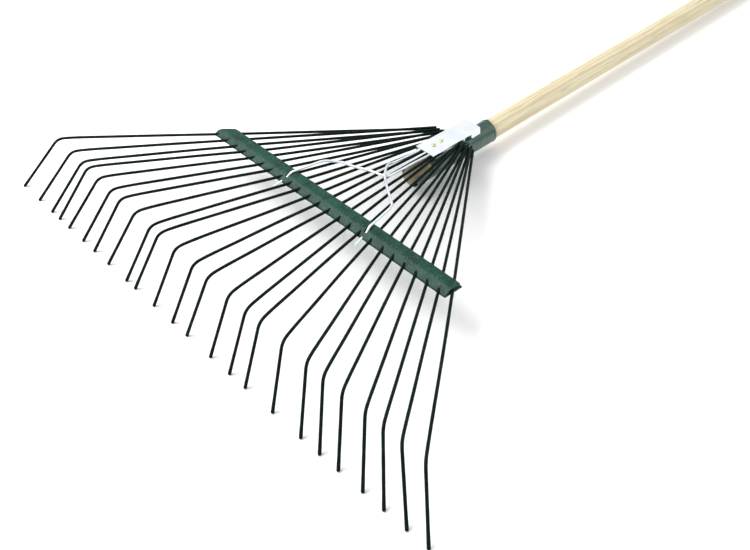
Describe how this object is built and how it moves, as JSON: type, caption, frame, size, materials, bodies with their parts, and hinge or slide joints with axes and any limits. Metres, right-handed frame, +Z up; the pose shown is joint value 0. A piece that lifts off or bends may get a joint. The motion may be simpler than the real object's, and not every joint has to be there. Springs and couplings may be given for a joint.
{
  "type": "leaf rake",
  "caption": "Leaf rake: a fan of bent spring wires through a folded crossbar, two crossing brace wires, a clamp plate and a socket on a round wooden pole.",
  "frame": {"origin": "on the floor under the middle of the rake's bounding box, the rake lying with its tine tips and the butt of its pole on the floor", "axes": "+Y along the pole towards its butt, -Y where the tines fan out, +X to the right of someone who stands in front of the tine tips and looks along the pole, +Z up"},
  "size_m": [0.6428, 1.5024, 0.0569],
  "materials": {
    "tine_enamel": "gloss, very dark green enamel on round spring wire",
    "bar_enamel": "satin green enamel with a fine hammered texture, worn along the fold",
    "socket_enamel": "gloss dark green enamel on rolled sheet",
    "zinc_wire": "bright zinc-plated spring wire",
    "zinc_plate": "bright zinc-plated pressed sheet, faint blue and yellow tints",
    "rivet_steel": "yellow zinc-plated rivet",
    "ash_wood": "smooth pale ash with fine lengthwise grain, thin clear lacquer"
  },
  "bodies": {
    "root": {"tine_01": "tine_enamel", "tine_02": "tine_enamel", "tine_03": "tine_enamel", "tine_04": "tine_enamel", "tine_05": "tine_enamel", "tine_06": "tine_enamel", "tine_07": "tine_enamel", "tine_08": "tine_enamel", "tine_09": "tine_enamel", "tine_10": "tine_enamel", "tine_11": "tine_enamel", "tine_12": "tine_enamel", "tine_13": "tine_enamel", "tine_14": "tine_enamel", "tine_15": "tine_enamel", "tine_16": "tine_enamel", "tine_17": "tine_enamel", "tine_18": "tine_enamel", "tine_19": "tine_enamel", "tine_20": "tine_enamel", "tine_21": "tine_enamel", "tine_22": "tine_enamel", "tine_23": "tine_enamel", "tine_24": "tine_enamel", "crossbar": "bar_enamel", "brace_wire_left": "zinc_wire", "brace_wire_right": "zinc_wire", "clamp_plate": "zinc_plate", "clamp_rivet_front": "rivet_steel", "clamp_rivet_rear": "rivet_steel", "socket": "socket_enamel", "handle": "ash_wood"}
  },
  "joints": []
}
